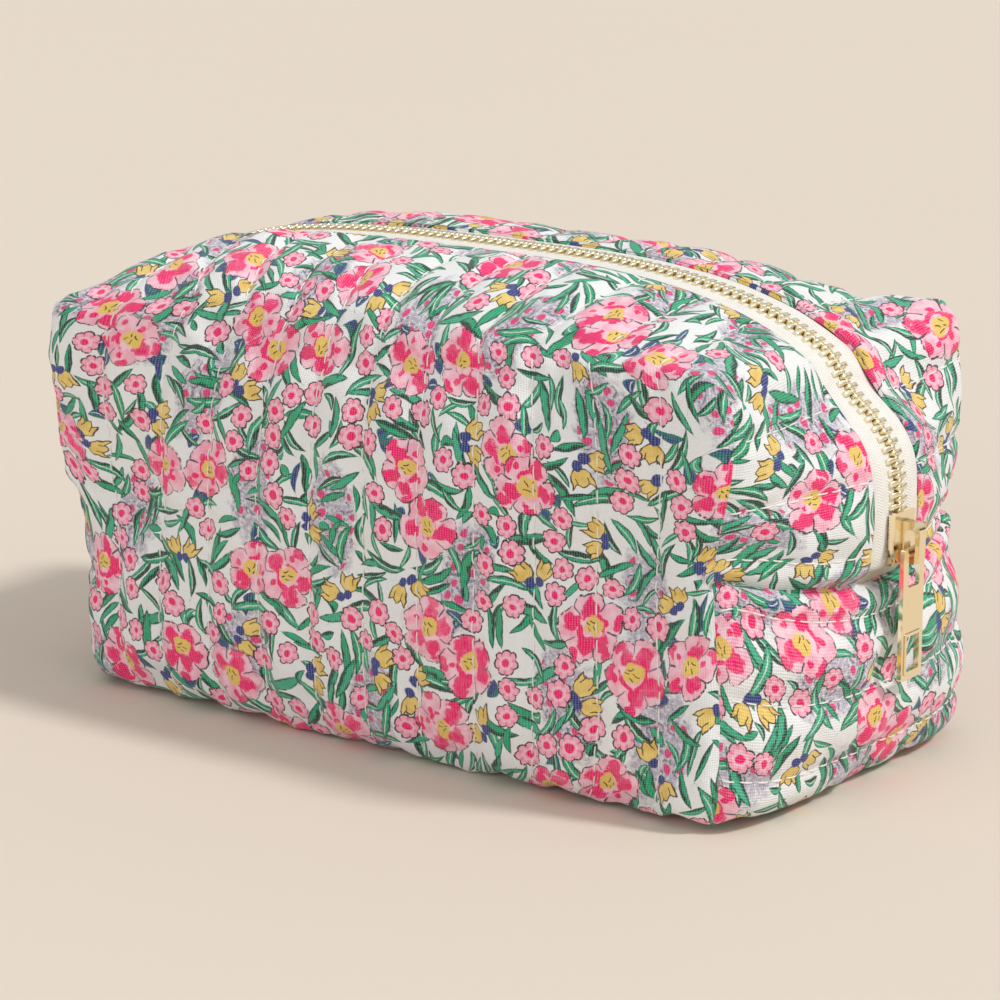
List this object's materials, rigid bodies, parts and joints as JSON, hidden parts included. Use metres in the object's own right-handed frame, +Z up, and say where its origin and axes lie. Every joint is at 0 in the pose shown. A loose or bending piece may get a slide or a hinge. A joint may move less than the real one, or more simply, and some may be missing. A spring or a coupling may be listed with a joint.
{
  "type": "makeup bag",
  "caption": "Boxy quilted cotton makeup pouch with a metal zip running over the top and down both ends, a gold slider and a flat pull tab.",
  "frame": {"origin": "on the floor under the middle of the bag", "axes": "+X along the bag towards the end where the slider sits when the zip is shut, +Y from the front to the back, +Z up"},
  "size_m": [0.2665, 0.132, 0.1354],
  "materials": {
    "printed_cotton": "floral print on plain weave, quilted",
    "wadding": "matte cotton batting",
    "lining": "matte plain weave",
    "zip_tape": "fine herringbone weave",
    "pale_gold": "pale gold plate, satin",
    "bright_gold": "gold plate, polished"
  },
  "bodies": {
    "bag": {"front_panel": "printed_cotton", "rear_panel": "printed_cotton", "lower_band": "printed_cotton", "front_upper_band": "printed_cotton", "rear_upper_band": "printed_cotton", "front_wadding": "wadding", "rear_wadding": "wadding", "lower_wadding": "wadding", "front_upper_wadding": "wadding", "rear_upper_wadding": "wadding", "front_lining": "lining", "rear_lining": "lining", "bottom_lining": "lining", "right_end_lining": "lining", "left_end_lining": "lining", "front_upper_lining": "lining", "rear_upper_lining": "lining", "left_tape_end": "zip_tape", "left_teeth_end": "pale_gold", "bottom_stop": "bright_gold"},
    "front_zip_half": {"front_zip_tape": "zip_tape", "front_zip_teeth": "pale_gold", "front_top_stop": "bright_gold"},
    "rear_zip_half": {"rear_zip_tape": "zip_tape", "rear_zip_teeth": "pale_gold", "rear_top_stop": "bright_gold"},
    "slider": {"slider_body": "bright_gold", "slider_bridge": "bright_gold"},
    "tab": {"pull_tab": "bright_gold"}
  },
  "joints": [
    {"name": "front_zip_tilt", "type": "hinge", "parent": "bag", "child": "front_zip_half", "pos_m": [0, 0, 0.058], "axis": [1, 0, 0], "range_deg": [0, 32], "deforming": ["front_upper_band", "front_upper_wadding", "front_upper_lining"]},
    {"name": "rear_zip_tilt", "type": "hinge", "parent": "bag", "child": "rear_zip_half", "pos_m": [0, 0, 0.058], "axis": [1, 0, 0], "range_deg": [-32, 0], "deforming": ["rear_upper_band", "rear_upper_wadding", "rear_upper_lining"]},
    {"name": "slider_run", "type": "hinge", "parent": "bag", "child": "slider", "pos_m": [0, 0, 0.0705], "axis": [0, -1, 0], "range_deg": [0, 180]},
    {"name": "pull_tab_swing", "type": "hinge", "parent": "slider", "child": "tab", "pos_m": [0.1338, 0, 0.0673], "axis": [0, -1, 0], "range_deg": [0, 160]}
  ],
  "couplings": [
    {"joint": "rear_zip_tilt", "follows": "front_zip_tilt", "ratio": -1},
    {"joint": "slider_run", "follows": "front_zip_tilt", "ratio": 5.625}
  ]
}
